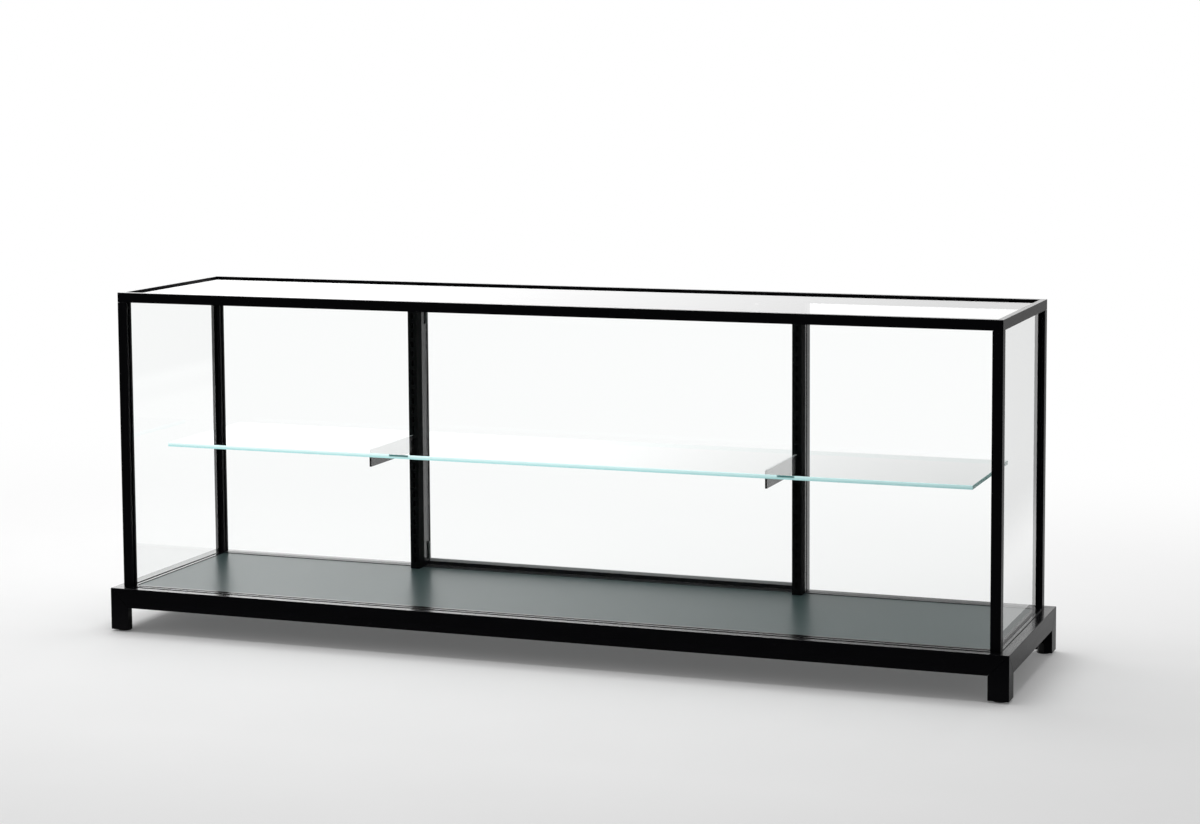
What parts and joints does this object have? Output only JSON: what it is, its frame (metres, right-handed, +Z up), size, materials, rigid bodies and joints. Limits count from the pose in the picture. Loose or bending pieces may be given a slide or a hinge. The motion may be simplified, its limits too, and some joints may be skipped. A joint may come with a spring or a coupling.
{
  "type": "glass display case",
  "caption": "Low, long floor-standing glass showcase with a black metal frame, short legs, a grey deck, a bracketed glass shelf and a hinged, locking glass door in the back.",
  "frame": {"origin": "On the floor, under the middle of the case's bounding box.", "axes": "+X along the length to the right as seen from the front, +Y to the back where the door is, +Z up."},
  "size_m": [1.87, 0.45, 0.7],
  "materials": {
    "black_frame": "brushed satin black",
    "black_steel": "satin black",
    "dark_bar": "satin",
    "grey_trim": "satin",
    "lock_steel": "satin",
    "deck_board": "satin grey",
    "clear_glass": "polished",
    "black_plastic": "matte",
    "soft_pad": "translucent"
  },
  "bodies": {
    "frame": {"leg_front_left": "black_frame", "leg_front_right": "black_frame", "leg_rear_left": "black_frame", "leg_rear_right": "black_frame", "glide_front_left": "black_plastic", "glide_front_right": "black_plastic", "glide_rear_left": "black_plastic", "glide_rear_right": "black_plastic", "base_rail_front": "black_frame", "base_rail_rear": "black_frame", "base_rail_left": "black_frame", "base_rail_right": "black_frame", "deck_bearer_front": "dark_bar", "deck_bearer_rear": "dark_bar", "deck_cross_bearer_left": "dark_bar", "deck_cross_bearer_right": "dark_bar", "deck_panel": "deck_board", "sill_front": "black_frame", "sill_rear": "black_frame", "sill_left": "black_frame", "sill_right": "black_frame", "top_rail_front": "black_frame", "top_rail_rear": "black_frame", "top_rail_left": "black_frame", "top_rail_right": "black_frame", "post_front_left": "black_frame", "post_front_right": "black_frame", "post_rear_left": "black_frame", "post_rear_right": "black_frame", "mullion_left": "black_frame", "mullion_right": "black_frame", "pane_front": "clear_glass", "pane_left": "clear_glass", "pane_right": "clear_glass", "pane_rear_left": "clear_glass", "pane_rear_right": "clear_glass", "pane_top": "clear_glass", "upright_left": "black_frame", "upright_right": "black_frame", "shelf_bracket_left": "black_steel", "shelf_bracket_right": "black_steel", "shelf_pad_left": "soft_pad", "shelf_pad_right": "soft_pad", "shelf_glass": "clear_glass", "hinge_lower_frame_leaf": "black_steel", "hinge_upper_frame_leaf": "black_steel"},
    "door": {"door_stile_left": "black_frame", "door_stile_right": "black_frame", "door_rail_bottom": "black_frame", "door_rail_top": "black_frame", "door_glass": "clear_glass", "door_bead": "grey_trim", "door_pull": "black_frame", "hinge_lower_door_leaf": "black_steel", "hinge_upper_door_leaf": "black_steel", "hinge_lower_plate": "grey_trim", "hinge_upper_plate": "grey_trim", "lock_barrel": "lock_steel"},
    "lock": {"lock_cam": "lock_steel"}
  },
  "joints": [
    {"name": "door_swing", "type": "hinge", "parent": "frame", "child": "door", "pos_m": [-0.4375, 0.2126, 0.3], "axis": [0, 0, 1], "range_deg": [0, 110]},
    {"name": "lock_turn", "type": "hinge", "parent": "door", "child": "lock", "pos_m": [0.33, 0.1835, 0.669], "axis": [0, 1, 0], "range_deg": [0, 90]}
  ]
}
